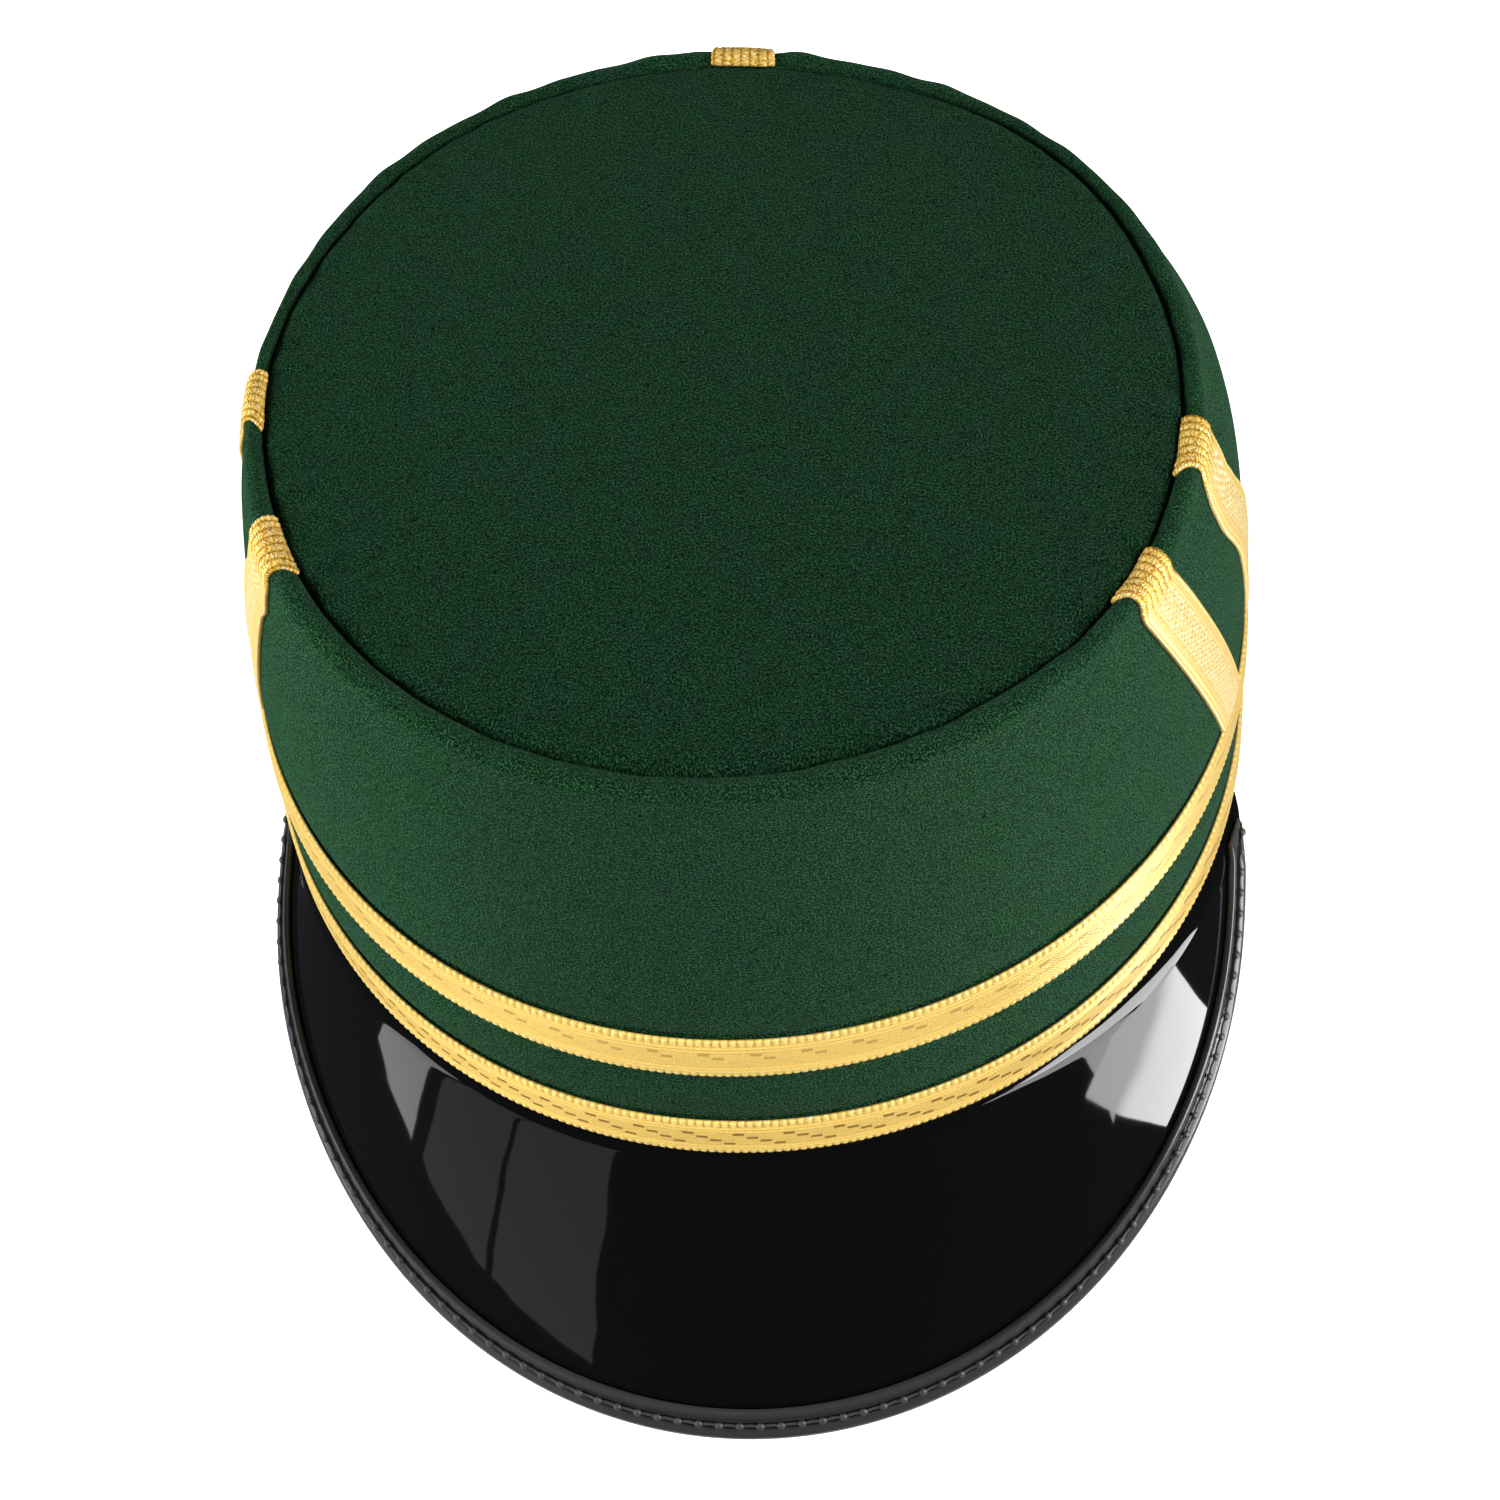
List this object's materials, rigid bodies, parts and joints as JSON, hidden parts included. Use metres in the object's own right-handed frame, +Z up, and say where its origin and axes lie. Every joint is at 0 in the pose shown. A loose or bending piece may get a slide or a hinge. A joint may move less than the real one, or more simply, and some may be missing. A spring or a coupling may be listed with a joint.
{
  "type": "hunting cap",
  "caption": "Stiff green wool hunting cap with a padded round top, gold lace round the base and up the sides, and a long drooping black peak with a stitched binding.",
  "frame": {"origin": "centre of the overall box in plan, at the floor that the cap rests on", "axes": "+Z up from the floor, the peak towards -Y, the wearer's left towards +X; the cap leans back on its peak and the back of its bottom edge"},
  "size_m": [0.1794, 0.2316, 0.148],
  "materials": {
    "green_wool": "felted wool with a short brushed nap",
    "gold_lace": "woven metallic thread",
    "patent_leather": "black patent gloss",
    "black_binding": "satin, stitched"
  },
  "bodies": {
    "root": {"crown_top": "green_wool", "side_wall": "green_wool", "lower_lace": "gold_lace", "upper_lace": "gold_lace", "strap_rear": "gold_lace", "strap_left_front": "gold_lace", "strap_left_rear": "gold_lace", "strap_right_front": "gold_lace", "strap_right_rear": "gold_lace", "peak": "patent_leather", "peak_binding": "black_binding"}
  },
  "joints": []
}
